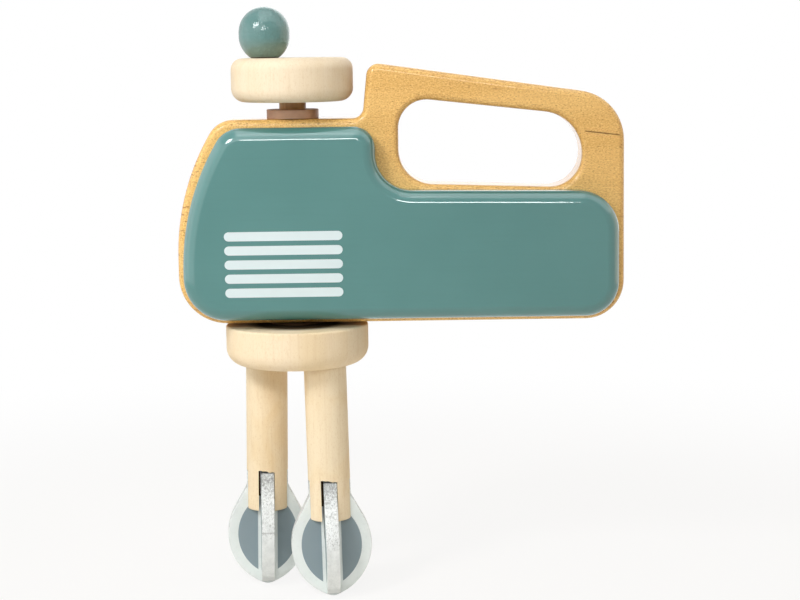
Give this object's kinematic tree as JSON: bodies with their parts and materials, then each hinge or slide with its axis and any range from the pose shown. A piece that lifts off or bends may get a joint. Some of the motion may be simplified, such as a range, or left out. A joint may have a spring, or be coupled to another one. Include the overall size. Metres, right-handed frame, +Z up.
{
  "type": "toy hand mixer",
  "caption": "Wooden toy hand mixer: a beech handle board between painted covers, with a crank disc and ball on top that turn whisks below.",
  "frame": {"origin": "on the floor plane that the whisk tips reach, under the middle of the handle board's length and thickness", "axes": "+Z up along the drive shaft, +X from the nose towards the heel of the handle, +Y from the front cover to the rear cover"},
  "size_m": [0.167, 0.054, 0.2229],
  "materials": {
    "beech": "clear satin lacquer on fine grained golden beech",
    "teal_paint": "semi-gloss greyish teal paint on wood",
    "pale_wood": "bare turned pale wood, smooth and matt",
    "dowel_wood": "bare dowel rod",
    "shaft_wood": "bare brown dowel rod, polished by turning",
    "bush": "plain taupe moulded plastic",
    "silver_paint": "silver paint on plywood, with slate panels on the faces",
    "slate_print": "matt slate grey print on the faces of the whisk blades",
    "white_ink": "white screen print on the front cover"
  },
  "bodies": {
    "body": {"handle_board": "beech", "front_cover": "teal_paint", "rear_cover": "teal_paint", "cover_dowels": "dowel_wood", "upper_bush": "bush", "lower_bush": "bush"},
    "rotor": {"drive_shaft": "shaft_wood", "crank_disc": "pale_wood", "crank_ball": "teal_paint", "ball_peg": "dowel_wood", "whisk_disc": "pale_wood", "front_leg": "pale_wood", "rear_leg": "pale_wood", "front_whisk_blade": "silver_paint", "front_whisk_cross_blade": "silver_paint", "rear_whisk_blade": "silver_paint", "rear_whisk_cross_blade": "silver_paint"}
  },
  "joints": [
    {"name": "crank_turn", "type": "hinge", "parent": "body", "child": "rotor", "pos_m": [-0.0399, 0, 0.15], "axis": [0, 0, 1], "continuous": true}
  ]
}
